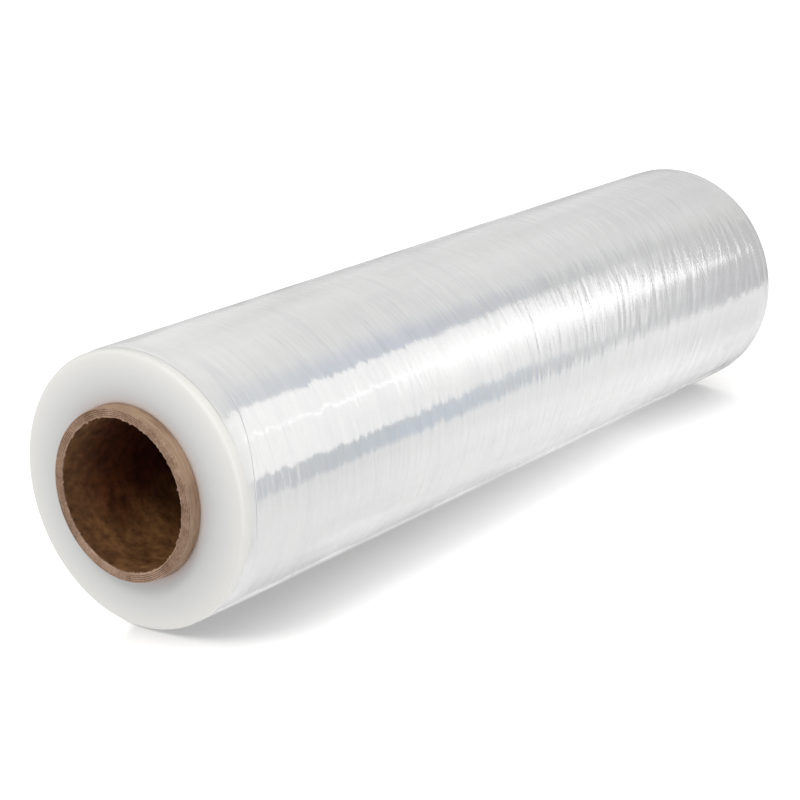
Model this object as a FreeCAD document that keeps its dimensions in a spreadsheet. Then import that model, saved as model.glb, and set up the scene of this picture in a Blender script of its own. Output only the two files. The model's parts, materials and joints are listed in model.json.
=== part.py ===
import FreeCAD, Part
import math
import os

import Sketcher

# Hand roll of clear stretch film wound on a spiral paperboard core.
# The roll stands on one end of its core: +Z runs up its axis and the origin is the centre of that end.
# All lengths are millimetres.

dimensions = {
    "core_bore_dia": 76.2,  # the standard three inch core
    "core_wall": 4.5,
    "core_stub": 7.75,  # bare core beyond the film at each end
    "core_worn_edge": 0.5,  # the corners of the sawn ends, rubbed down
    "ply_line_width": 0.24,  # the open line between two plies on a sawn end
    "ply_line_depth": 0.25,
    "seam_pitch": 140.0,  # rise of the innermost ply in one turn of the bore
    "seam_width": 0.9,  # gap between the edges of that ply
    "seam_depth": 0.4,
    "film_width": 508.0,  # twenty inch film
    "film_dia": 138.0,  # about 457 m of 20 micron film on this core
    "shoulder_round": 2.0,  # outer corner of the wound film
    "end_land": 5.5,  # plain rings beside the core and beside the shoulder
    "turn_step": 0.25,  # how deep the turns between two rings of the end lie
    "lap_inset": 13.5,  # the last turns start this far in from the ends
    "lap_step": 0.3,  # and stand this proud of the shoulder
    "band_depth": 0.3,  # how deep the thin bands of the film lie
    "band_slope": 4.0,  # length of the slope from one band to the next
}

plyCount = 5
turnGroups = 8  # slopes between the rings of turns on an end of the film, an even number
bandCount = 7  # thick and thin bands by turns along the roll, an odd number
shoulderFacets = 3
unevenAngle = 137.5  # degrees from one uneven value to the next
ringUneven = 0.28  # how far a ring's edge strays, as a share of the ring's width
bandUneven = 0.22  # and a band's edge
depthUneven = 0.3  # how much shallower than the full depth a dip is, on average

doc = FreeCAD.newDocument("stretch_film_roll")
sheet = doc.addObject("Spreadsheet::Sheet", "dims")
for row, (name, value) in enumerate(dimensions.items(), start=1):
    sheet.set(f"A{row}", name)
    sheet.set(f"B{row}", str(value))
    sheet.setAlias(f"B{row}", name)
doc.recompute()

# Radii and heights that both pieces share.
boreRadius = "dims.core_bore_dia / 2"
coreRadius = f"({boreRadius} + dims.core_wall)"
coreTop = "(dims.film_width + 2 * dims.core_stub)"
filmRadius = "(dims.film_dia / 2)"
filmBottom = "dims.core_stub"
filmTop = "(dims.film_width + dims.core_stub)"


# A value from -1 to 1 that looks uneven from one step to the next.
def uneven(step):
    return math.sin(math.radians(unevenAngle * step))


# Half section of a piece in its body's XZ plane, closed, from (radius, height) corners.
# Each corner is held by its two distances from the origin.
def drawSection(body, name, corners):
    sketch = body.newObject("Sketcher::SketchObject", name)
    plane = next(p for p in body.Origin.OriginFeatures if p.Role == "XZ_Plane")
    sketch.AttachmentSupport = (plane, [""])
    sketch.MapMode = "FlatFace"
    points = [
        FreeCAD.Vector(float(sketch.evalExpression(radius)), float(sketch.evalExpression(height)), 0)
        for radius, height in corners
    ]
    following = points[1:] + points[:1]
    for start, end in zip(points, following):
        sketch.addGeometry(Part.LineSegment(start, end), False)
    for side in range(len(points)):
        nextSide = (side + 1) % len(points)
        sketch.addConstraint(Sketcher.Constraint("Coincident", side, 2, nextSide, 1))
    for side, (radius, height) in enumerate(corners):
        across = Sketcher.Constraint("DistanceX", -1, 1, side, 1, points[side].x)
        sketch.setExpression(f"Constraints[{sketch.addConstraint(across)}]", radius)
        up = Sketcher.Constraint("DistanceY", -1, 1, side, 1, points[side].y)
        sketch.setExpression(f"Constraints[{sketch.addConstraint(up)}]", height)
    return sketch


def revolve(body, sketch, name):
    feature = body.newObject("PartDesign::Revolution", name)
    feature.Profile = sketch
    feature.ReferenceAxis = (sketch, ["V_Axis"])
    feature.Angle = 360
    doc.recompute()
    return feature


# One sawn end of the core, from the bore outwards: worn corners, and a fine line between the plies.
# inward is the sign of the way into the board from this end.
def sawnEnd(level, inward):
    corners = [
        (boreRadius, f"{level} {inward} dims.core_worn_edge"),
        (f"{boreRadius} + dims.core_worn_edge", level),
    ]
    for ply in range(1, plyCount):
        line = f"{boreRadius} + dims.core_wall * {ply} / {plyCount}"
        corners.append((f"{line} - dims.ply_line_width / 2", level))
        corners.append((line, f"{level} {inward} dims.ply_line_depth"))
        corners.append((f"{line} + dims.ply_line_width / 2", level))
    corners.append((f"{coreRadius} - dims.core_worn_edge", level))
    corners.append((coreRadius, f"{level} {inward} dims.core_worn_edge"))
    return corners


# The core: a tube wound from strips of board and sawn to length.
def makeCore():
    body = doc.addObject("PartDesign::Body", "cardboard_core")
    outline = sawnEnd(coreTop, "-") + sawnEnd("0", "+")[::-1]
    tube = revolve(body, drawSection(body, "core_section", outline), "core_tube")

    # The edges of the innermost ply don't quite meet, so a fine gap climbs the bore as a helix.
    # It starts below the tube and runs out above it.
    seamStart = "(0 - dims.seam_pitch / 8)"
    gap = [
        (f"{boreRadius} - dims.seam_depth", f"{seamStart} - dims.seam_width"),
        (f"{boreRadius} + dims.seam_depth", seamStart),
        (f"{boreRadius} - dims.seam_depth", f"{seamStart} + dims.seam_width"),
    ]
    gapSection = drawSection(body, "seam_section", gap)
    seam = body.newObject("PartDesign::SubtractiveHelix", "ply_seam")
    seam.Profile = gapSection
    seam.ReferenceAxis = (gapSection, ["V_Axis"])
    seam.Mode = "pitch-height-angle"
    seam.setExpression("Pitch", "dims.seam_pitch")
    seam.setExpression("Height", f"{coreTop} + dims.seam_pitch / 4")
    doc.recompute()
    if seam.Shape.Volume >= tube.Shape.Volume:
        raise SystemExit("the seam cuts nothing from the core")
    return body


# One end of the wound film, from the core outwards: rings of turns that stand level with the land
# and turns between them that lie deeper, then the rounded shoulder down to the side.
def filmEnd(level, inward):
    corners = [(coreRadius, level)]
    sideRadius = f"({filmRadius} - dims.lap_step)"
    ringSpan = f"({sideRadius} - dims.shoulder_round - {coreRadius} - 2 * dims.end_land)"
    for ring in range(turnGroups + 1):
        isEnd = ring in (0, turnGroups)
        share = (ring + (0 if isEnd else ringUneven * uneven(ring))) / turnGroups
        depth = 1 - depthUneven * (1 - uneven(ring)) if ring % 2 else 0
        corners.append(
            (
                f"{coreRadius} + dims.end_land + {ringSpan} * {share:.4f}",
                f"{level} {inward} dims.turn_step * {depth:.3f}",
            )
        )
    for facet in range(shoulderFacets + 1):
        turn = math.radians(90 * facet / shoulderFacets)
        corners.append(
            (
                f"{sideRadius} - dims.shoulder_round * {1 - math.sin(turn):.4f}",
                f"{level} {inward} dims.shoulder_round * {1 - math.cos(turn):.4f}",
            )
        )
    corners.append((sideRadius, f"{level} {inward} dims.lap_inset"))
    return corners


# The side of the roll, from the bottom up: film is never quite even across its width, so as the turns
# go on its thick bands build up and its thin bands sink. Edge 1 is where the first thick band ends.
def gaugeBands():
    low = f"({filmBottom} + dims.lap_inset)"
    length = "(dims.film_width - 2 * dims.lap_inset)"
    corners = [(filmRadius, low)]
    for edge in range(1, bandCount):
        share = (edge + bandUneven * uneven(2 * edge)) / bandCount
        middle = f"{low} + {length} * {share:.4f}"
        thinBand = edge - 1 + edge % 2
        dip = 1 - depthUneven * (1 - uneven(thinBand))
        thinRadius = f"{filmRadius} - dims.band_depth * {dip:.3f}"
        below, above = (filmRadius, thinRadius) if edge % 2 else (thinRadius, filmRadius)
        corners.append((below, f"{middle} - dims.band_slope / 2"))
        corners.append((above, f"{middle} + dims.band_slope / 2"))
    corners.append((filmRadius, f"{filmTop} - dims.lap_inset"))
    return corners


# The film: one sheet wound on the core, whose turns together are one solid.
def makeFilm():
    body = doc.addObject("PartDesign::Body", "film_roll")
    outline = filmEnd(filmTop, "-") + gaugeBands()[::-1] + filmEnd(filmBottom, "+")[::-1]
    revolve(body, drawSection(body, "wound_section", outline), "wound_film")
    return body


def checkPieces(bodies):
    for item in doc.Objects:
        if "Invalid" in item.State or "Error" in item.State:
            raise SystemExit(f"{item.Name} has failed: {item.State}")
    for body in bodies:
        shape = body.Shape
        if shape.isNull() or not shape.isValid() or len(shape.Solids) != 1:
            raise SystemExit(f"{body.Label} is not one sound solid")
        box = shape.optimalBoundingBox(True, False)
        print(f"{body.Label}: {shape.Volume / 1000:.1f} cm3, {box.XLength:.2f} mm across,", end=" ")
        print(f"from {box.ZMin:.2f} to {box.ZMax:.2f} mm up")


pieces = [makeCore(), makeFilm()]
doc.recompute()
checkPieces(pieces)
os.makedirs("parts", exist_ok=True)
for piece in pieces:
    piece.Shape.exportStep(f"parts/{piece.Label}.step")
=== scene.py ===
import json
import math

import bpy
from mathutils import Matrix, Vector, noise


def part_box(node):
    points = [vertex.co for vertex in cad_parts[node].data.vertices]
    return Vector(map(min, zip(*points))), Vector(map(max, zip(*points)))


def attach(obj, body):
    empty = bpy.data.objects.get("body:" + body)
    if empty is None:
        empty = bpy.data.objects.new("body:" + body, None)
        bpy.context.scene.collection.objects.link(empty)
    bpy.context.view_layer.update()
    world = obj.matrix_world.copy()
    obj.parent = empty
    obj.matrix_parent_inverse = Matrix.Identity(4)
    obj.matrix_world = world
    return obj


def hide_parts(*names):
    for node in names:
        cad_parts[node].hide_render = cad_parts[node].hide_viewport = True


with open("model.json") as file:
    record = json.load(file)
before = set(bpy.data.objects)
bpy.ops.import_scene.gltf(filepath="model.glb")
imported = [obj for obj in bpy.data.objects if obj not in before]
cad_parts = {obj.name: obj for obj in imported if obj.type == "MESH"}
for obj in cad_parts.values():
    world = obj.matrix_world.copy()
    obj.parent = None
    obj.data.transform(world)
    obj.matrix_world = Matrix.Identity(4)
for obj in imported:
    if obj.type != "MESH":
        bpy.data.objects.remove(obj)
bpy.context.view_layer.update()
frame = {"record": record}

# Sizes come from the frame, in metres. +Z is the roll's axis and its near end in the picture is the top.
mm = 0.001
filmLow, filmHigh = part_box("film_roll")
coreLow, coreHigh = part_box("cardboard_core")
boreMount = next(m for m in frame["record"]["mounts"] if m["name"] == "core_bore")
filmRadius = filmHigh.x
filmWidth = filmHigh.z - filmLow.z
coreRadius = coreHigh.x
boreRadius = boreMount["dims"]["r_mm"] * mm
print(f"frame loaded: film {2 * filmRadius:.4f} x {filmWidth:.4f} m, core {2 * coreRadius:.4f} m across")


def mix(low, high, share):
    return low + (high - low) * share


def smooth(share):
    share = min(max(share, 0.0), 1.0)
    return share * share * (3 - 2 * share)


# Noise on the roll's surface: around is how fast it changes round the roll, along is its length up the roll.
def rollNoise(angle, height, around, along, layer):
    spot = Vector((math.cos(angle) * around + layer * 7.3, math.sin(angle) * around, height / along))
    return noise.noise(spot)


# A closed ring of surface. columns holds one outline per step round the axis, each a list of
# (radius, height) that starts and ends at the inside.
def turnedMesh(name, columns, materials, materialOfRow):
    steps = len(columns)
    rows = len(columns[0])
    points = []
    for step, column in enumerate(columns):
        angle = 2 * math.pi * step / steps
        cosine, sine = math.cos(angle), math.sin(angle)
        points += [(radius * cosine, radius * sine, height) for radius, height in column]
    faces = []
    slots = []
    for step in range(steps):
        here = step * rows
        there = (step + 1) % steps * rows
        for row in range(rows):
            below = (row + 1) % rows
            faces.append((here + row, here + below, there + below, there + row))
            slots.append(materialOfRow(row))
    mesh = bpy.data.meshes.new(name)
    mesh.from_pydata(points, [], faces)
    for material in materials:
        mesh.materials.append(material)
    mesh.polygons.foreach_set("material_index", slots)
    mesh.polygons.foreach_set("use_smooth", [True] * len(faces))
    mesh.update()
    piece = bpy.data.objects.new(name, mesh)
    bpy.context.scene.collection.objects.link(piece)
    return piece


# Short ways to build a material's nodes.
def newMaterial(name):
    material = bpy.data.materials.new(name)
    material.use_nodes = True
    material.node_tree.nodes.clear()
    return material


def addNode(tree, kind, inputs=None, **settings):
    node = tree.nodes.new(kind)
    for key, value in settings.items():
        setattr(node, key, value)
    for key, value in (inputs or {}).items():
        if isinstance(value, bpy.types.NodeSocket):
            tree.links.new(value, node.inputs[key])
        else:
            node.inputs[key].default_value = value
    return node


def addMath(tree, operation, first, second=0.0):
    return addNode(tree, "ShaderNodeMath", {0: first, 1: second}, operation=operation).outputs[0]


def addVectorMath(tree, operation, first, second=(0.0, 0.0, 0.0)):
    return addNode(tree, "ShaderNodeVectorMath", {0: first, 1: second}, operation=operation).outputs[0]


# Rises from 0 at one value to 1 at another.
def addSlope(tree, value, low, high):
    share = addMath(tree, "DIVIDE", addMath(tree, "SUBTRACT", value, low), high - low)
    return addNode(tree, "ShaderNodeClamp", {0: share}).outputs[0]


def addRamp(tree, value, stops):
    node = addNode(tree, "ShaderNodeValToRGB", {"Fac": value})
    elements = node.color_ramp.elements
    while len(elements) < len(stops):
        elements.new(0.5)
    for element, (position, colour) in zip(elements, stops):
        element.position = position
        element.color = (*colour, 1.0)
    return node.outputs["Color"]


def mixColours(tree, share, first, second, blend="MIX"):
    node = addNode(tree, "ShaderNodeMix", data_type="RGBA", blend_type=blend)
    for socket, value in ((node.inputs[0], share), (node.inputs[6], first), (node.inputs[7], second)):
        if isinstance(value, bpy.types.NodeSocket):
            tree.links.new(value, socket)
        elif isinstance(value, tuple):
            socket.default_value = (*value, 1.0)
        else:
            socket.default_value = value
    return node.outputs[2]


def multiplyColours(tree, first, second):
    return mixColours(tree, 1.0, first, second, "MULTIPLY")


# The X, Y and Z of a point of the piece.
def placeParts(tree):
    place = addNode(tree, "ShaderNodeTexCoord").outputs["Object"]
    return addNode(tree, "ShaderNodeSeparateXYZ", {0: place}).outputs


# Noise whose grain is stretched: scale is (across, across, along) in cycles a metre.
# Leaning noise follows the film's wrinkles.
def grainNoise(tree, scale, detail=2.0, rough=0.5, warp=0.0, leaning=False):
    place = addNode(tree, "ShaderNodeTexCoord").outputs["Object"]
    if leaning:
        lean = addNode(tree, "ShaderNodeAttribute", attribute_name="lean").outputs["Vector"]
        place = addVectorMath(tree, "SUBTRACT", place, lean)
    stretched = addNode(tree, "ShaderNodeMapping", {"Vector": place, "Scale": scale}).outputs[0]
    grain = {"Vector": stretched, "Scale": 1.0, "Detail": detail, "Roughness": rough, "Distortion": warp}
    return addNode(tree, "ShaderNodeTexNoise", grain).outputs["Fac"]


def radiusFromAxis(tree):
    parts = placeParts(tree)
    across = addMath(tree, "MULTIPLY", parts["X"], parts["X"])
    deep = addMath(tree, "MULTIPLY", parts["Y"], parts["Y"])
    return addMath(tree, "SQRT", addMath(tree, "ADD", across, deep))


def addBump(tree, height, distance, strength=1.0):
    inputs = {"Height": height, "Distance": distance, "Strength": strength}
    return addNode(tree, "ShaderNodeBump", inputs).outputs["Normal"]


def finishMaterial(tree, shader):
    output = addNode(tree, "ShaderNodeOutputMaterial")
    tree.links.new(shader, output.inputs["Surface"])


# The film. Places round the roll are given in picture degrees: 0 is the picture's up (-Y)
# and 90 is the camera's side (-X). Places along it are metres from the film's near end.
filmLook = {
    "stepsRound": 120,
    "sideRows": 720,
    "faceRings": 26,
    "shoulderRound": 1.7 * mm,
    "shoulderSteps": 6,
    "sideSink": 0.1 * mm,  # how far the shoulder's turns lie below the film's full radius
    "stripSink": 0.35 * mm,  # how much the plain strip beside the shoulder leans down to it
    "stripLift": 0.05 * mm,
    "stripRows": (0.2, 0.4, 0.6, 0.8, 0.93, 1.0),  # from the crease to the last turns' edge
    "creaseInset": 5.2 * mm,  # the fine line where the shoulder's turns end
    "creaseSway": 0.6 * mm,
    "creaseTurn": 20.0,  # picture degrees from which it sways
    "creaseCentre": 15.0,  # picture degrees where it shows most
    "creaseLeast": 0.15,  # and how much of it is left elsewhere
    "creaseFar": 0.3,  # how much of it the far end has
    "creaseDepth": 0.1 * mm,
    "creaseWidth": 0.4 * mm,
    "lapInset": 14.8 * mm,  # where the last turns start, on average
    "lapSway": 5.5 * mm,
    "lapWaves": 3,  # how often that edge sways in and out in one turn
    "lapFar": 0.8,  # how much it sways at the far end
    "lapCentre": 60.0,  # picture degrees where the edge runs most slanted
    "lapShown": 70.0,  # and where it stands out most
    "lapFarTurn": 200.0,  # how much further round it does so at the far end
    "lapLeast": 0.1,  # how much of its step is left elsewhere
    "lapStep": 0.2 * mm,
    "lineTone": (0.34, 0.35, 0.36),  # the tone of the crease and the last turns' edge
    "lineShare": 0.8,
    "ringDepth": 0.16 * mm,
    "ringWidth": 2.6 * mm,
    "bandDepth": 0.16 * mm,
    "bandWidth": 26 * mm,
    "wrinkleDepth": 0.072 * mm,
    "wrinkleGrain": (3.4, 2.7 * mm),  # how fast it changes round the roll, and its width
    "creasingDepth": 0.08 * mm,
    "creasingGrain": (3.4, 4.0 * mm),
    "fineDepth": 0.018 * mm,
    "fineGrain": (6.5, 1.3 * mm),
    "roughFrom": 0.17,  # the film is smoother before this place
    "foldsTo": 0.48,  # and its folds end here
    "tilt": 0.13,  # how much the turns tilt from one to the next
    "leanFrom": 12.0,  # picture degrees where the wrinkles start to lean
    "leanWidth": 105.0,
    "leanReach": 38 * mm,  # how far they have run up the roll by then
    "leanStart": 0.18,  # and they lean only between these places along the film
    "leanEnd": 0.505,
    "combStart": (14.0, 27.0),  # picture degrees where short strokes start, at the near end and further on
    "combFade": 22.0,  # how far round they take to come up
    "combEnd": 56.0,
}


def pictureDegrees(angle):
    return (270.0 - math.degrees(angle)) % 360.0


# The turns also tilt a little from one to the next, round the roll, so what they mirror has ragged edges.
def tiltedTurns(tree, normal):
    tilt = grainNoise(tree, (11, 11, 210), detail=3.0, rough=0.6, leaning=True)
    tilt = addMath(tree, "MULTIPLY", addMath(tree, "SUBTRACT", tilt, 0.5), filmLook["tilt"])
    around = addVectorMath(tree, "CROSS_PRODUCT", (0.0, 0.0, 1.0), normal)
    around = addNode(tree, "ShaderNodeVectorMath", {0: around, "Scale": tilt}, operation="SCALE").outputs[0]
    return addVectorMath(tree, "NORMALIZE", addVectorMath(tree, "ADD", normal, around))


# The crease and the last turns' edge are fine grey lines of painted shade.
def withEdgeLines(tree, tone):
    line = addNode(tree, "ShaderNodeAttribute", attribute_name="edgeLine").outputs["Fac"]
    line = addMath(tree, "MULTIPLY", line, filmLook["lineShare"])
    return mixColours(tree, line, tone, filmLook["lineTone"])


# The side: milky turns under a gloss, with streaks, warmer clouds, smears, and strokes above the highlight
# that are partly painted streaks of its reflection.
def sideMaterial():
    material = newMaterial("clearFilmSide")
    tree = material.node_tree
    broad = grainNoise(tree, (5, 5, 55), detail=2.0)
    streaks = grainNoise(tree, (8, 8, 260), detail=3.0, rough=0.6, leaning=True)
    clouds = grainNoise(tree, (14, 14, 9), detail=1.0)
    milky = addRamp(tree, streaks, [(0.3, (0.69, 0.692, 0.694)), (0.7, (0.735, 0.735, 0.732))])
    milky = mixColours(tree, addMath(tree, "MULTIPLY", broad, 0.3), milky, (0.68, 0.685, 0.69))
    milky = mixColours(tree, addMath(tree, "MULTIPLY", clouds, 0.25), milky, (0.79, 0.785, 0.755))
    smears = grainNoise(tree, (15, 15, 130), detail=3.0, rough=0.6, warp=0.4, leaning=True)
    smears = addRamp(tree, smears, [(0.34, (0.955, 0.958, 0.962)), (0.47, (1.0, 1.0, 1.0))])
    milky = multiplyColours(tree, milky, smears)
    # Strokes above the highlight: partly the film's streaks, partly painted streaks of reflection.
    strokes = grainNoise(tree, (30, 30, 480), detail=3.0, rough=0.65, warp=0.2, leaning=True)
    strokes = addRamp(tree, strokes, [(0.3, (0.85, 0.855, 0.865)), (0.7, (1.13, 1.13, 1.125))])
    comb = addNode(tree, "ShaderNodeAttribute", attribute_name="comb").outputs["Fac"]
    milky = mixColours(tree, comb, milky, multiplyColours(tree, milky, strokes))
    # Painted shade along the crease and the last turns' edge.
    milky = withEdgeLines(tree, milky)
    fineRidges = grainNoise(tree, (42, 42, 420), detail=3.0, rough=0.6, warp=0.2, leaning=True)
    normal = addBump(tree, fineRidges, 0.075 * mm, 1.0)
    normal = tiltedTurns(tree, normal)
    shader = addNode(
        tree,
        "ShaderNodeBsdfPrincipled",
        {
            "Base Color": milky,
            "Roughness": 0.1,
            "IOR": 1.5,
            "Subsurface Weight": 0.1,
            "Subsurface Radius": (1.0, 1.0, 1.0),
            "Subsurface Scale": 4 * mm,
            "Coat Weight": 0.8,
            "Coat Roughness": 0.04,
            "Coat IOR": 1.5,
            "Normal": normal,
            "Coat Normal": normal,
        },
    )
    finishMaterial(tree, shader.outputs[0])
    return material


# The end faces: the edges of the turns, with a painted pinkish glow from the core beside it, painted shade
# just outside that, lighter further out, and a painted glow at the rim.
def endMaterial():
    material = newMaterial("woundFilmEnd")
    tree = material.node_tree
    radius = radiusFromAxis(tree)
    fromCore = addMath(tree, "DIVIDE", addMath(tree, "SUBTRACT", radius, coreRadius), filmRadius - coreRadius)
    # Painted light and shade by radius: the core's pinkish glow, shade next to it, and a glow at the rim.
    tone = addRamp(
        tree,
        fromCore,
        [
            (0.0, (0.68, 0.53, 0.46)),
            (0.06, (0.63, 0.58, 0.555)),
            (0.16, (0.60, 0.605, 0.61)),
            (0.4, (0.655, 0.665, 0.66)),
            (0.65, (0.71, 0.712, 0.70)),
            (0.84, (0.75, 0.745, 0.72)),
            (0.95, (0.75, 0.742, 0.71)),
            (1.0, (0.82, 0.81, 0.775)),
        ],
    )
    turns = addNode(
        tree,
        "ShaderNodeTexNoise",
        {"W": addMath(tree, "MULTIPLY", radius, 900.0), "Scale": 1.0, "Detail": 3.0},
        noise_dimensions="1D",
    ).outputs["Fac"]
    tone = mixColours(tree, addMath(tree, "MULTIPLY", turns, 0.12), tone, (0.62, 0.63, 0.64))
    # Painted shade along the crease and the last turns' edge.
    tone = withEdgeLines(tree, tone)
    # Painted light and shade on the outer edge: lighter on the camera's side and darker towards the picture's
    # upper far side.
    parts = placeParts(tree)
    away = addMath(tree, "DIVIDE", addMath(tree, "SUBTRACT", parts["X"], parts["Y"]), 1.4 * filmRadius)
    paintedEdgeShading = addRamp(
        tree,
        away,
        [
            (0.07, (1.06, 1.06, 1.06)),
            (0.43, (0.97, 0.97, 0.97)),
            (0.71, (0.85, 0.85, 0.855)),
            (1.0, (0.72, 0.725, 0.73)),
        ],
    )
    onEdge = addSlope(tree, fromCore, 0.93, 0.98)
    tone = mixColours(tree, onEdge, tone, multiplyColours(tree, tone, paintedEdgeShading))
    normal = addBump(tree, turns, 0.03 * mm, 0.3)
    shader = addNode(
        tree,
        "ShaderNodeBsdfPrincipled",
        {
            "Base Color": tone,
            "Roughness": 0.5,
            "IOR": 1.48,
            "Specular IOR Level": 0.25,
            "Subsurface Weight": 0.5,
            "Subsurface Radius": (1.0, 0.97, 0.92),
            "Subsurface Scale": 10 * mm,
            "Normal": normal,
        },
    )
    finishMaterial(tree, shader.outputs[0])
    return material


# In what follows, end is 0 at the near end and 1 at the far one.
# How far the last turns' edge lies from an end: it sways in and out as it goes round.
def lapEdge(angle, end):
    look = filmLook
    turned = math.radians(pictureDegrees(angle) - look["lapCentre"])
    sway = look["lapSway"] * (look["lapFar"] if end else 1.0)
    return look["lapInset"] - sway * math.sin(look["lapWaves"] * turned)


# The edge lies flat on most of the roll and stands out where it runs slanted.
def lapStep(angle, end):
    look = filmLook
    turned = math.radians(pictureDegrees(angle) - look["lapShown"] - look["lapFarTurn"] * end)
    return look["lapStep"] * mix(look["lapLeast"], 1.0, smooth((math.cos(turned) - 0.85) / 0.1))


def creaseEdge(angle, end):
    turned = math.radians(pictureDegrees(angle) - filmLook["creaseTurn"])
    return filmLook["creaseInset"] + filmLook["creaseSway"] * math.sin(2 * turned + 2 * end)


# The crease shows over the picture's upper part of the near end and is faint elsewhere.
def creaseShare(angle, end):
    look = filmLook
    turned = math.radians(pictureDegrees(angle) - look["creaseCentre"])
    share = mix(look["creaseLeast"], 1.0, smooth((math.cos(turned) - 0.6) / 0.3))
    return share * (look["creaseFar"] if end else 1.0)


# Where short strokes across the film stand out: above the long highlight, in patches, partly as painted
# streaks of its reflection.
def combShare(angle, fromTop):
    look = filmLook
    degrees = (pictureDegrees(angle) + 180) % 360 - 180
    patches = mix(0.3, 1.0, smooth(0.5 + 1.4 * noise.noise(Vector((fromTop / 0.035, 2.6, degrees / 40)))))
    start = mix(*look["combStart"], smooth((fromTop - 0.2) / 0.1))
    across = smooth((degrees - start) / look["combFade"]) * smooth((look["combEnd"] - degrees) / 6)
    return patches * across * smooth((fromTop - 0.006) / 0.02)


# Depth of the end face at a radius, below its plane: groups of turns that stand in and out.
def faceDepth(radius, angle, end):
    groups = noise.noise(Vector((radius / filmLook["ringWidth"], 3.1 + 5 * end, math.cos(angle) * 0.12)))
    broad = noise.noise(Vector((radius / (9 * mm), math.cos(angle) * 0.4, math.sin(angle) * 0.4 + 9 * end)))
    return filmLook["ringDepth"] * (0.5 + 0.35 * groups + 0.5 * broad)


# How far up the roll a wrinkle has run: wrinkles run straight round near the ends and over the picture's
# upper part, and slant on the camera's side in the middle and far part.
def wrinkleLean(angle, fromTop):
    look = filmLook
    past = (pictureDegrees(angle) - look["leanFrom"]) % 360.0
    if past < look["leanWidth"]:
        reach = smooth(past / look["leanWidth"])
    else:
        reach = smooth((360.0 - past) / (360.0 - look["leanWidth"]))
    along = smooth((fromTop - look["leanStart"]) / 0.18) * smooth((look["leanEnd"] - fromTop) / 0.08)
    return look["leanReach"] * reach * along


# Depth of the side below the film's full radius: broad bands, wrinkles, sharp folds and fine ripples.
def sideDepth(angle, height):
    look = filmLook
    fromTop = filmHigh.z - height
    place = height - wrinkleLean(angle, fromTop) + 5 * mm * rollNoise(angle, height, 1.1, 90 * mm, 1)
    bands = 0.5 + 0.5 * rollNoise(angle, height, 0.35, look["bandWidth"], 2)
    wrinkles = rollNoise(angle, place, *look["wrinkleGrain"], 3)
    creasing = 1 - 2 * abs(rollNoise(angle, place, *look["creasingGrain"], 6))
    fine = rollNoise(angle, place, *look["fineGrain"], 4)
    rise = mix(0.5, 1.0, smooth((fromTop - look["roughFrom"]) / 0.12))
    folds = smooth((fromTop - look["roughFrom"]) / 0.1) * smooth((look["foldsTo"] - fromTop) / 0.06)
    folds *= smooth(0.6 + rollNoise(angle, place, 1.0, 30 * mm, 8))
    ridges = look["wrinkleDepth"] * (0.5 + wrinkles) * rise + look["fineDepth"] * (0.5 + fine)
    return look["bandDepth"] * bands + ridges + look["creasingDepth"] * (1 - creasing) * folds


# One end in section, as (radius, depth below the end face): face, shoulder, crease, strip, last turns' edge.
def endOutline(angle, end):
    look = filmLook
    lap = lapEdge(angle, end)
    lapHeight = filmLow.z + lap if end else filmHigh.z - lap
    lapRadius = filmRadius - sideDepth(angle, lapHeight) - lapStep(angle, end)
    sideRadius = filmRadius - look["sideSink"] - look["stripSink"]
    stripRadius = sideRadius + look["stripLift"]
    faceEdge = sideRadius - look["shoulderRound"]
    outline = []
    for ring in range(look["faceRings"] + 1):
        radius = mix(coreRadius, faceEdge, ring / look["faceRings"])
        outline.append((radius, faceDepth(radius, angle, end)))
    firstDepth = outline[-1][1]
    for step in range(1, look["shoulderSteps"] + 1):
        turn = math.radians(90 * step / look["shoulderSteps"])
        radius = sideRadius - look["shoulderRound"] * (1 - math.sin(turn))
        depth = look["shoulderRound"] * (1 - math.cos(turn))
        outline.append((radius, depth + firstDepth * (1 - step / look["shoulderSteps"])))
    crease = max(creaseEdge(angle, end), look["shoulderRound"] + look["creaseWidth"] + 0.1 * mm)
    outline.append((sideRadius, crease - look["creaseWidth"]))
    outline.append((sideRadius - look["creaseDepth"] * creaseShare(angle, end), crease))
    outline.append((stripRadius, crease + look["creaseWidth"]))
    for share in look["stripRows"]:
        depth = mix(crease + look["creaseWidth"], lap - 0.3 * mm, share)
        outline.append((mix(stripRadius, lapRadius, math.sin(math.pi / 2 * share)), depth))
    outline.append((lapRadius - 0.2 * lapStep(angle, end), lap))
    return outline


def filmOutline(angle):
    rows = filmLook["sideRows"]
    top = [(radius, filmHigh.z - depth) for radius, depth in endOutline(angle, 0)]
    bottom = [(radius, filmLow.z + depth) for radius, depth in endOutline(angle, 1)]
    high = top[-1][1]
    low = bottom[-1][1]
    side = []
    for row in range(rows + 1):
        height = mix(high, low, row / rows)
        height += 0.15 * mm * (-1 if row == 0 else row == rows)  # leaves room for the edge's step
        side.append((filmRadius - sideDepth(angle, height), height))
    return top + side + bottom[::-1]


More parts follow.
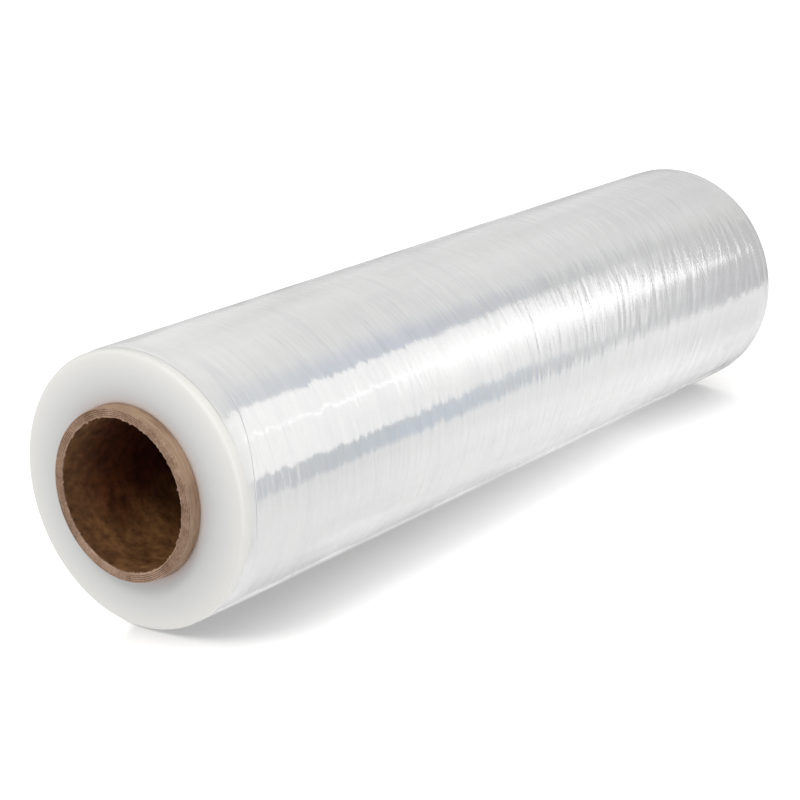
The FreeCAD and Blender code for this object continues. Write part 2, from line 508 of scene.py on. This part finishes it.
def makeFilm():
    steps = filmLook["stepsRound"]
    columns = [filmOutline(2 * math.pi * step / steps) for step in range(steps)]
    rows = len(columns[0])
    creaseRow = filmLook["faceRings"] + filmLook["shoulderSteps"] + 2
    farRows = filmLook["faceRings"] + filmLook["shoulderSteps"] - 1
    lapRow = creaseRow + len(filmLook["stripRows"]) + 2

    # The end's material reaches the crease at the near end, and at the far end only the shoulder.
    def materialOfRow(row):
        return 0 if creaseRow <= row < rows - 1 - farRows else 1

    film = turnedMesh("stretch_film", columns, [sideMaterial(), endMaterial()], materialOfRow)
    leans = []
    lines = []
    combs = []
    for step, column in enumerate(columns):
        angle = 2 * math.pi * step / steps
        for row, (_, height) in enumerate(column):
            leans += [0.0, 0.0, wrinkleLean(angle, filmHigh.z - height)]
            combs.append(combShare(angle, filmHigh.z - height))
            isFar = row > rows / 2
            inward = min(row, rows - 1 - row)
            onLap = lapStep(angle, isFar) / filmLook["lapStep"] - filmLook["lapLeast"]
            onCrease = creaseShare(angle, isFar) - filmLook["creaseLeast"]
            lines.append(onLap if inward == lapRow else onCrease if inward == creaseRow else 0.0)
    film.data.attributes.new("lean", "FLOAT_VECTOR", "POINT").data.foreach_set("vector", leans)
    film.data.attributes.new("edgeLine", "FLOAT", "POINT").data.foreach_set("value", lines)
    film.data.attributes.new("comb", "FLOAT", "POINT").data.foreach_set("value", combs)
    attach(film, "root")
    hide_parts("film_roll")
    print(f"film made: {len(film.data.polygons) * 2} triangles")


# The core: a tube wound from strips of board.
coreLook = {
    "stepsRound": 216,
    "plies": 5,
    "plyLine": 0.35 * mm,  # depth of the line between two plies on a sawn end
    "plyGap": 0.1 * mm,  # half its width
    "cornerRound": 0.45 * mm,
    "sawWaste": 0.12 * mm,  # how uneven the sawn end is
    "burr": 0.06 * mm,
    "fray": 1.6 * mm,  # how far fibres of the innermost ply stand into the bore
    "boreRows": 70,
    "boreBulge": 0.08 * mm,
    "outerRows": 6,
    "seamPitch": 0.14,
    "seamHalfWidth": 0.6 * mm,
    "seamDepth": 0.3 * mm,
    "litSide": (-0.26, 0.97),  # the way, in X and Y, to the side of the bore that light reaches
}

# The faces of the board: dark and light tone of the fibres, and the grain of the fibres and of the blotches.
boardLook = {
    "boardSawn": ((0.29, 0.18, 0.12), (0.54, 0.37, 0.27), (900, 900, 500), (60, 60, 60)),
    "boardOutside": ((0.31, 0.205, 0.135), (0.51, 0.35, 0.24), (70, 70, 900), (30, 30, 60)),
    # The bore's board is darker than the outside's: partly its own tone, partly painted shade inside the
    # tube.
    "boardBore": ((0.115, 0.046, 0.015), (0.335, 0.163, 0.059), (190, 190, 210), (55, 55, 80)),
}


# How near a point of the board is to the line between two plies, as a share of a ply: 0 is on it.
def plyDistance(tree):
    wall = coreRadius - boreRadius
    across = addMath(tree, "DIVIDE", addMath(tree, "SUBTRACT", radiusFromAxis(tree), boreRadius), wall)
    inPly = addMath(tree, "FRACT", addMath(tree, "MULTIPLY", across, float(coreLook["plies"])))
    near = addMath(tree, "SUBTRACT", 0.5, addMath(tree, "ABSOLUTE", addMath(tree, "SUBTRACT", inPly, 0.5)))
    skin = addMath(tree, "MINIMUM", across, addMath(tree, "SUBTRACT", 1.0, across))
    skin = addMath(tree, "SUBTRACT", 0.5, addMath(tree, "MULTIPLY", skin, float(coreLook["plies"])))
    return addMath(tree, "MAXIMUM", near, skin)


# How near a point of the bore is to the seam of its innermost ply, in metres along the bore.
def seamDistance(tree):
    parts = placeParts(tree)
    turned = addMath(tree, "DIVIDE", addMath(tree, "ARCTAN2", parts["Y"], parts["X"]), 2 * math.pi)
    climbed = addMath(tree, "DIVIDE", parts["Z"], coreLook["seamPitch"])
    share = addMath(tree, "FRACT", addMath(tree, "ADD", addMath(tree, "SUBTRACT", climbed, turned), 20.0))
    off = addMath(tree, "SUBTRACT", 0.5, addMath(tree, "ABSOLUTE", addMath(tree, "SUBTRACT", share, 0.5)))
    return addMath(tree, "MULTIPLY", off, coreLook["seamPitch"])


# How deep a point of the bore lies from the nearer end, as a share of the core's diameter.
def boreDepth(tree):
    height = placeParts(tree)["Z"]
    depth = addMath(tree, "MINIMUM", height, addMath(tree, "SUBTRACT", coreHigh.z, height))
    return addMath(tree, "DIVIDE", depth, 2 * coreRadius)


# Where the bore gets painted shade: on the picture's upper far side, and not on the side that light reaches.
def boreShadeShare(tree, blotches):
    parts = placeParts(tree)
    across, down = coreLook["litSide"]
    across = addMath(tree, "MULTIPLY", parts["X"], across / boreRadius)
    lit = addMath(tree, "ADD", addMath(tree, "MULTIPLY", parts["Y"], down / boreRadius), across)
    uneven = addMath(tree, "MULTIPLY", addMath(tree, "SUBTRACT", blotches, 0.5), 0.6)
    return addSlope(tree, addMath(tree, "ADD", lit, uneven), 0.7, 0.1)


# lines is "plies" on a sawn end, "seam" in the bore, or nothing.
def boardMaterial(name, lines=None):
    dark, light, fibreGrain, blotchGrain = boardLook[name]
    material = newMaterial(name)
    tree = material.node_tree
    blotches = grainNoise(tree, blotchGrain, detail=5.0, rough=0.62)
    fibres = grainNoise(tree, fibreGrain, detail=4.0, rough=0.65)
    colour = addRamp(tree, fibres, [(0.3, dark), (0.72, light)])
    shade = addRamp(tree, blotches, [(0.36, (0.62, 0.57, 0.52)), (0.62, (1.0, 1.0, 1.0))])
    colour = multiplyColours(tree, colour, shade)
    if lines == "plies":
        line = addRamp(tree, plyDistance(tree), [(0.06, (0.40, 0.33, 0.28)), (0.3, (1.0, 1.0, 1.0))])
        patches = grainNoise(tree, (70, 70, 70), detail=3.0)
        shown = addRamp(tree, patches, [(0.4, (0.15, 0.15, 0.15)), (0.6, (1.0, 1.0, 1.0))])
        colour = mixColours(tree, shown, colour, multiplyColours(tree, colour, line))
    if lines == "seam":
        near = addMath(tree, "DIVIDE", seamDistance(tree), 2 * coreLook["seamHalfWidth"])
        line = addRamp(tree, near, [(0.25, (0.35, 0.3, 0.26)), (0.9, (1.0, 1.0, 1.0))])
        colour = multiplyColours(tree, colour, line)
        # Painted shade in the bore, darker with depth, on the side away from the light.
        tones = [(0.05, (1.0, 1.0, 1.0)), (0.3, (0.56, 0.35, 0.28)), (0.6, (0.40, 0.18, 0.16))]
        boreShade = addRamp(tree, boreDepth(tree), tones)
        colour = mixColours(tree, boreShadeShare(tree, blotches), colour, multiplyColours(tree, colour, boreShade))
    normal = addBump(tree, fibres, 0.12 * mm, 0.5)
    shader = addNode(
        tree,
        "ShaderNodeBsdfPrincipled",
        {"Base Color": colour, "Roughness": 0.85, "IOR": 1.45, "Normal": normal, "Specular IOR Level": 0.3},
    )
    finishMaterial(tree, shader.outputs[0])
    return material


# The sawn end, from the bore outwards: each ply stands a little on its own, and fibres hang at the corners.
def sawnOutline(angle, end):
    look = coreLook
    wall = coreRadius - boreRadius
    ragged = abs(rollNoise(angle, 0, 24, 1, 5 + end)) + 0.6 * abs(rollNoise(angle, 0, 70, 1, 9 + end))
    frayed = look["fray"] * max(ragged - 0.12, 0.0)
    outline = [
        (boreRadius, look["cornerRound"] * 2.6),
        (boreRadius - frayed * 0.7, look["cornerRound"] * 1.3),
        (boreRadius - frayed, look["cornerRound"] * 0.7),
        (boreRadius + look["cornerRound"] * 0.3 - frayed * 0.5, look["cornerRound"] * 0.2),
    ]
    lows = []
    for ply in range(look["plies"]):
        lows.append(look["sawWaste"] * (0.6 + 0.7 * rollNoise(angle, 0, 3.0, 1, 11 + ply + 20 * end)))
    for ply, low in enumerate(lows):
        inner = boreRadius + wall * ply / look["plies"]
        outer = boreRadius + wall * (ply + 1) / look["plies"]
        for share in (0.25, 0.5, 0.75):
            burr = look["burr"] * rollNoise(angle, share, 40, 0.3, 31 + ply)
            outline.append((mix(inner, outer, share), max(low + burr, 0.0)))
        if ply < look["plies"] - 1:
            outline.append((outer - look["plyGap"], low))
            outline.append((outer, max(low, lows[ply + 1]) + look["plyLine"]))
            outline.append((outer + look["plyGap"], lows[ply + 1]))
    corner = look["cornerRound"]
    outline.append((coreRadius - corner * 0.3, corner * 0.3))
    outline.append((coreRadius - 0.02 * mm, corner))
    outline.append((coreRadius, corner * 2.2))
    return outline


# Depth of the seam's gap at a place in the bore.
def seamGap(angle, height):
    look = coreLook
    share = (height / look["seamPitch"] - angle / (2 * math.pi)) % 1.0
    off = (0.5 - abs(share - 0.5)) * look["seamPitch"]
    return look["seamDepth"] * smooth(1 - off / (4 * look["seamHalfWidth"]))


def coreOutline(angle):
    look = coreLook
    top = [(radius, coreHigh.z - depth) for radius, depth in sawnOutline(angle, 0)]
    bottom = [(radius, coreLow.z + depth) for radius, depth in sawnOutline(angle, 1)]
    outside = []
    for row in range(1, look["outerRows"]):
        height = mix(top[-1][1], bottom[-1][1], row / look["outerRows"])
        outside.append((coreRadius, height))
    inside = []
    for row in range(1, look["boreRows"]):
        height = mix(bottom[0][1], top[0][1], row / look["boreRows"])
        bulge = look["boreBulge"] * rollNoise(angle, height, 1.5, 60 * mm, 60) + seamGap(angle, height)
        inside.append((boreRadius + bulge, height))
    return top + outside + bottom[::-1] + inside


def makeCore():
    steps = coreLook["stepsRound"]
    columns = [coreOutline(2 * math.pi * step / steps) for step in range(steps)]
    rows = len(columns[0])
    sawnRows = len(sawnOutline(0.0, 0))
    outsideEnd = sawnRows + coreLook["outerRows"]

    # Sawn board at both ends, plain board outside between them, and bare board in the bore.
    def materialOfRow(row):
        if row < sawnRows - 1:
            return 0
        if row < outsideEnd - 1:
            return 1
        if row < outsideEnd + sawnRows - 2:
            return 0
        return 2

    materials = [
        boardMaterial("boardSawn", "plies"),
        boardMaterial("boardOutside"),
        boardMaterial("boardBore", "seam"),
    ]
    core = turnedMesh("board_core", columns, materials, materialOfRow)
    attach(core, "root")
    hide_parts("cardboard_core")
    print(f"core made: {rows * steps * 2} triangles")


makeFilm()
makeCore()


# The camera stands where the photograph's did. The picture's up is -Y, so the roll lies on its side in it.
cameraPlace = {
    "position": Vector((-0.690, -0.3605, 1.2354)),
    "aim": Vector((0.0, 0.0091, 0.3040)),
    "upward": Vector((0, -1, 0)),
    "lens": 100.75,
    "sensor": 36.0,
    "farClip": 100.0,
}


def makeCamera():
    place = cameraPlace
    data = bpy.data.cameras.new("camera")
    data.lens = place["lens"]
    data.sensor_width = place["sensor"]
    data.clip_end = place["farClip"]
    camera = bpy.data.objects.new("camera", data)
    bpy.context.scene.collection.objects.link(camera)
    forward = (place["aim"] - place["position"]).normalized()
    right = forward.cross(place["upward"]).normalized()
    above = right.cross(forward)
    turn = Matrix((right, above, -forward)).transposed().to_4x4()
    camera.matrix_world = Matrix.Translation(place["position"]) @ turn
    bpy.context.scene.camera = camera
    print("camera placed")


# The set. The picture's floor is the upright plane that the roll's side touches, so it stands at +Y here.
setLook = {
    "floorReach": 9.0,
    "floorBrightness": 1.6,
    "shadowReach": 0.06,  # how far from the roll its shadow reaches
    "shadowStart": 0.515,  # the height under the axis where the shadow starts, near the near end
    "shadowSlant": 2.5,  # it starts lower down on the side away from the camera
    "shadowSoft": 0.035,
    "shadowTurn": 0.29,  # the shadow is darker above this height and fades below it
    "shadowFade": 1.0,
    "shadowTones": [(0.0, 0.42), (0.33, 0.655), (0.56, 0.89), (0.7, 0.97), (0.85, 1.0)],
    "ambient": (0.80, 0.80, 0.80),
    "roomDistance": 1.5,
    "roomLow": -3.4,
    "roomHigh": 1.4,
    "roomFine": [-2.6, -0.85],  # heights between which the card's rows are close together
    "roomFineRow": 0.009,
    "roomRow": 0.06,
    "roomSteps": 300,
}


def makeFloor():
    look = setLook
    wide = look["floorReach"]
    deep = filmRadius + 0.1 * mm
    corners = [(-wide, deep, -wide), (wide, deep, -wide), (wide, deep, wide), (-wide, deep, wide)]
    mesh = bpy.data.meshes.new("pictureFloor")
    mesh.from_pydata(corners, [], [(0, 1, 2, 3)])
    material = newMaterial("palePaper")
    tree = material.node_tree
    path = addNode(tree, "ShaderNodeLightPath").outputs["Is Camera Ray"]
    behind = addNode(tree, "ShaderNodeNewGeometry").outputs["Backfacing"]
    level = look["floorBrightness"]
    crevice = addNode(tree, "ShaderNodeAmbientOcclusion", {"Distance": look["shadowReach"]}, samples=12)
    parts = placeParts(tree)
    height = parts["Z"]
    # The shadow is darkest near the near end, lighter along the rest, and darker again right at the far end.
    fading = addMath(tree, "SUBTRACT", look["shadowTurn"], height)
    fading = addMath(tree, "MULTIPLY", fading, look["shadowFade"])
    farEnd = addMath(tree, "MULTIPLY", addMath(tree, "MAXIMUM", height, 0.0), 2 * look["shadowFade"])
    fading = addMath(tree, "MINIMUM", fading, addMath(tree, "SUBTRACT", farEnd, 0.1))
    shade = addMath(tree, "ADD", crevice.outputs["AO"], fading)
    shade = addRamp(tree, shade, [(place, (tone, tone, tone)) for place, tone in look["shadowTones"]])
    slanted = addMath(tree, "ADD", height, addMath(tree, "MULTIPLY", parts["X"], look["shadowSlant"]))
    beyond = addSlope(tree, slanted, look["shadowStart"], look["shadowStart"] + look["shadowSoft"])
    shade = mixColours(tree, beyond, shade, (1.0, 1.0, 1.0))
    shade = multiplyColours(tree, shade, (level, level, level))
    colour = mixColours(tree, path, (0.8, 0.8, 0.8), shade)
    paper = addNode(tree, "ShaderNodeBsdfDiffuse", {"Color": colour}).outputs[0]
    clear = addNode(tree, "ShaderNodeBsdfTransparent").outputs[0]
    shader = addNode(tree, "ShaderNodeMixShader", {0: behind, 1: paper, 2: clear}).outputs[0]
    finishMaterial(tree, shader)
    mesh.materials.append(material)
    floor = bpy.data.objects.new("pictureFloor", mesh)
    bpy.context.scene.collection.objects.link(floor)
    floor.visible_diffuse = False
    floor.visible_glossy = False
    floor.visible_transmission = False
    floor.visible_shadow = False


# A value read off a line through (place, value) points in rising order.
def readLine(line, place):
    if place <= line[0][0]:
        return line[0][1]
    for (low, first), (high, second) in zip(line, line[1:]):
        if place <= high:
            return mix(first, second, (place - low) / (high - low))
    return line[-1][1]


# What the film mirrors in a direction and at a height: a long softbox between two dark gaps, and a pale wall
# and floor. Directions are degrees from the camera's side (-X) towards the picture's up (-Y).
roomLook = {
    "pale": [  # the wall and floor, by direction
        (-180, 0.65),
        (-129, 0.65),
        (-124, 1.0),
        (-119, 0.65),
        (-107, 0.9),
        (-87, 1.3),
        (-69, 1.66),
        (-19, 2.0),
        (73, 1.05),
        (115, 1.0),
        (155, 0.82),
        (180, 0.65),
    ],
    "paleAlong": [(-2.4, 0.8), (-2.15, 0.92), (-1.9, 1.0), (-1.6, 1.0), (-1.3, 0.92), (-1.0, 0.98)],
    "gap": [(-19, 0), (-15, 1), (67, 1), (79, 0)],
    "upperTint": [  # the colour of each gap, by height
        (-2.35, Vector((0.64, 0.62, 0.60))),
        (-2.0, Vector((0.60, 0.62, 0.62))),
        (-1.83, Vector((0.34, 0.42, 0.40))),
        (-1.65, Vector((0.02, 0.17, 0.36))),
        (-1.3, Vector((0.0, 0.25, 0.74))),
        (-1.1, Vector((0.1, 0.3, 0.56))),
    ],
    "lowerTint": [
        (-2.35, Vector((0.14, 0.12, 0.18))),
        (-2.2, Vector((0.58, 0.60, 0.70))),
        (-1.83, Vector((0.88, 0.90, 0.88))),
        (-1.65, Vector((0.76, 0.88, 1.02))),
        (-1.47, Vector((0.27, 0.70, 1.15))),
        (-1.3, Vector((0.05, 0.48, 1.0))),
        (-1.1, Vector((0.1, 0.3, 0.56))),
    ],
    "softbox": [(-1.2, 0), (0.3, 1), (54.5, 1), (56.3, 0)],
    "softboxUneven": 0.16,
    "softboxReach": [(-1.95, 1.0), (-1.8, 1.8), (-1.25, 1.8), (-1.1, 0.0)],  # degrees that it reaches lower
    "softboxLevel": [
        (-2.25, 0.1),
        (-1.95, 1.5),
        (-1.75, 2.15),
        (-1.45, 2.5),
        (-1.3, 2.8),
        (-1.1, 3.3),
        (-0.9, 3.4),
    ],
    "coreLevel": [  # a brighter core in the middle of the softbox
        (-2.42, 0.0),
        (-2.36, 0.5),
        (-2.25, 3.2),
        (-2.0, 3.5),
        (-1.7, 2.8),
        (-1.45, 2.3),
        (-1.3, 0.8),
        (-1.2, 0.0),
    ],
    "coreWidth": [(-2.5, 2.5), (-2.3, 6), (-2.0, 17), (-1.7, 26), (-1.3, 20)],
    "coreCentre": [(-2.3, 23.5), (-2.0, 28.0), (-1.4, 34.0)],
    "lineCentre": 32.5,  # and a narrow bright line in it towards the near end
    "lineWidth": 2.0,
    "lineLevel": [(-1.5, 0.0), (-1.3, 1.8), (-1.0, 1.8), (-0.9, 0.0)],
    "uneven": 0.35,  # how much the wall and floor vary
    "frayed": [(-1.9, 5.0), (-1.55, 3.0), (-1.3, 1.0), (-0.9, 0.6)],  # degrees that the gaps' edges stray
    "lowered": [(-2.3, 3.0), (-2.0, 0.0)],  # degrees that the lower gap reaches lower at the far end
    "split": -0.96,  # above this height there are no gaps, and a plain box
    "plainBox": [(-1, 0), (3, 1), (50, 1), (54, 0)],
    "plainLevel": 2.6,
    "farBoxes": [(150, 16, 1.2), (-95, 20, 1.6)],  # centre, half width and level of boxes for other views,
    "farBoxesFrom": -0.35,  # which start at this height
}


def roomGlow(degrees, height):
    look = roomLook
    above = smooth((height - look["split"]) / 0.08)
    stray = readLine(look["frayed"], height) * 2 * noise.noise(Vector((degrees / 14, height / 0.07, 1.7)))
    wall = noise.noise(Vector((degrees / 30, height / 0.1, 4.2)))
    wall += 0.6 * noise.noise(Vector((degrees / 9, height / 0.03, 8.1)))
    pale = readLine(look["pale"], degrees) * readLine(look["paleAlong"], height) * (1 + look["uneven"] * wall)
    upperStray = stray + 9 * noise.noise(Vector((degrees / 20, height / 0.025, 6.3)))
    lowerStray = stray + readLine(look["lowered"], height)
    gap = readLine(look["gap"], degrees + (upperStray if degrees > 60 else lowerStray)) * (1 - above)
    lower, upper = readLine(look["lowerTint"], height), readLine(look["upperTint"], height)
    gapTint = mix(lower, upper, smooth((degrees - 50) / 10))
    glow = [mix(pale, tint * (1 + wall), gap) for tint in gapTint]
    reach = readLine(look["softboxReach"], height) if degrees < 20 else 0.0
    box = readLine(look["softbox"], degrees + stray + reach) * (1 - above)
    box *= readLine(look["softboxLevel"], height)
    box *= 1 + look["softboxUneven"] * noise.noise(Vector((degrees / 60, height / 0.05, 2.2)))
    offCore = abs(degrees + 0.7 * stray - readLine(look["coreCentre"], height))
    offCore /= readLine(look["coreWidth"], height)
    box += readLine(look["coreLevel"], height) * max(0.0, 1 - offCore)
    offLine = abs(degrees - look["lineCentre"]) / look["lineWidth"]
    box += readLine(look["lineLevel"], height) * max(0.0, 1 - offLine)
    box += look["plainLevel"] * readLine(look["plainBox"], degrees) * above
    for centre, half, level in look["farBoxes"]:
        turned = abs((degrees - centre + 180) % 360 - 180)
        box += level * smooth((half - turned) / 4 + 0.5) * smooth((height - look["farBoxesFrom"]) / 0.2)
    return [max(level, box) if box > 0.2 else level + box for level in glow]


# One ring of card round the roll that only reflections see. Its glow is painted on its corners.
def makeRoom():
    look = setLook
    steps = look["roomSteps"]
    distance = look["roomDistance"]
    heights = [look["roomLow"]]
    while heights[-1] < look["roomHigh"]:
        isFine = look["roomFine"][0] < heights[-1] < look["roomFine"][1]
        heights.append(heights[-1] + look["roomFineRow" if isFine else "roomRow"])
    rows = len(heights) - 1
    points = []
    glows = []
    for step in range(steps + 1):
        degrees = mix(-180, 180, step / steps)
        turn = math.radians(degrees)
        for height in heights:
            points.append((-distance * math.cos(turn), -distance * math.sin(turn), height))
            glows += [*roomGlow(degrees, height), 1.0]
    faces = []
    for step in range(steps):
        for row in range(rows):
            here = step * (rows + 1) + row
            faces.append((here, here + rows + 1, here + rows + 2, here + 1))
    mesh = bpy.data.meshes.new("roomCard")
    mesh.from_pydata(points, [], faces)
    painted = mesh.color_attributes.new("glow", "FLOAT_COLOR", "POINT")
    painted.data.foreach_set("color", glows)
    material = newMaterial("roomCard")
    tree = material.node_tree
    colour = addNode(tree, "ShaderNodeAttribute", attribute_name="glow").outputs["Color"]
    finishMaterial(tree, addNode(tree, "ShaderNodeEmission", {"Color": colour, "Strength": 1.0}).outputs[0])
    mesh.materials.append(material)
    card = bpy.data.objects.new("roomCard", mesh)
    bpy.context.scene.collection.objects.link(card)
    card.visible_camera = False
    card.visible_diffuse = False
    card.visible_transmission = False
    card.visible_shadow = False


# One soft lamp above the near end lifts its face and the core.
faceLight = {
    "position": Vector((-0.05, -0.38, 0.88)),
    "aim": Vector((0.0, 0.0, 0.516)),
    "size": 0.2,
    "power": 0.85,
    "tint": (1.0, 0.985, 0.96),
}


def makeFaceLight():
    look = faceLight
    data = bpy.data.lights.new("faceLight", "AREA")
    data.shape = "SQUARE"
    data.size = look["size"]
    data.energy = look["power"]
    data.color = look["tint"]
    light = bpy.data.objects.new("faceLight", data)
    bpy.context.scene.collection.objects.link(light)
    light.location = look["position"]
    light.rotation_euler = (look["aim"] - look["position"]).to_track_quat("-Z", "Y").to_euler()
    light.visible_camera = False
    light.visible_glossy = False


# Even light from all sides, and a white backdrop for the camera alone.
def makeWorld():
    world = bpy.data.worlds.new("paleRoom")
    bpy.context.scene.world = world
    world.use_nodes = True
    tree = world.node_tree
    tree.nodes.clear()
    path = addNode(tree, "ShaderNodeLightPath").outputs
    seen = addMath(tree, "MAXIMUM", path["Is Camera Ray"], path["Is Transmission Ray"])
    colour = mixColours(tree, seen, setLook["ambient"], (1.0, 1.0, 1.0))
    glow = addNode(tree, "ShaderNodeBackground", {"Color": colour, "Strength": 1.0})
    output = addNode(tree, "ShaderNodeOutputWorld")
    tree.links.new(glow.outputs[0], output.inputs["Surface"])


def makeSet():
    makeWorld()
    makeFloor()
    makeRoom()
    makeFaceLight()
    print("set made")


makeCamera()
makeSet()

bpy.context.scene.view_settings.view_transform = "Standard"
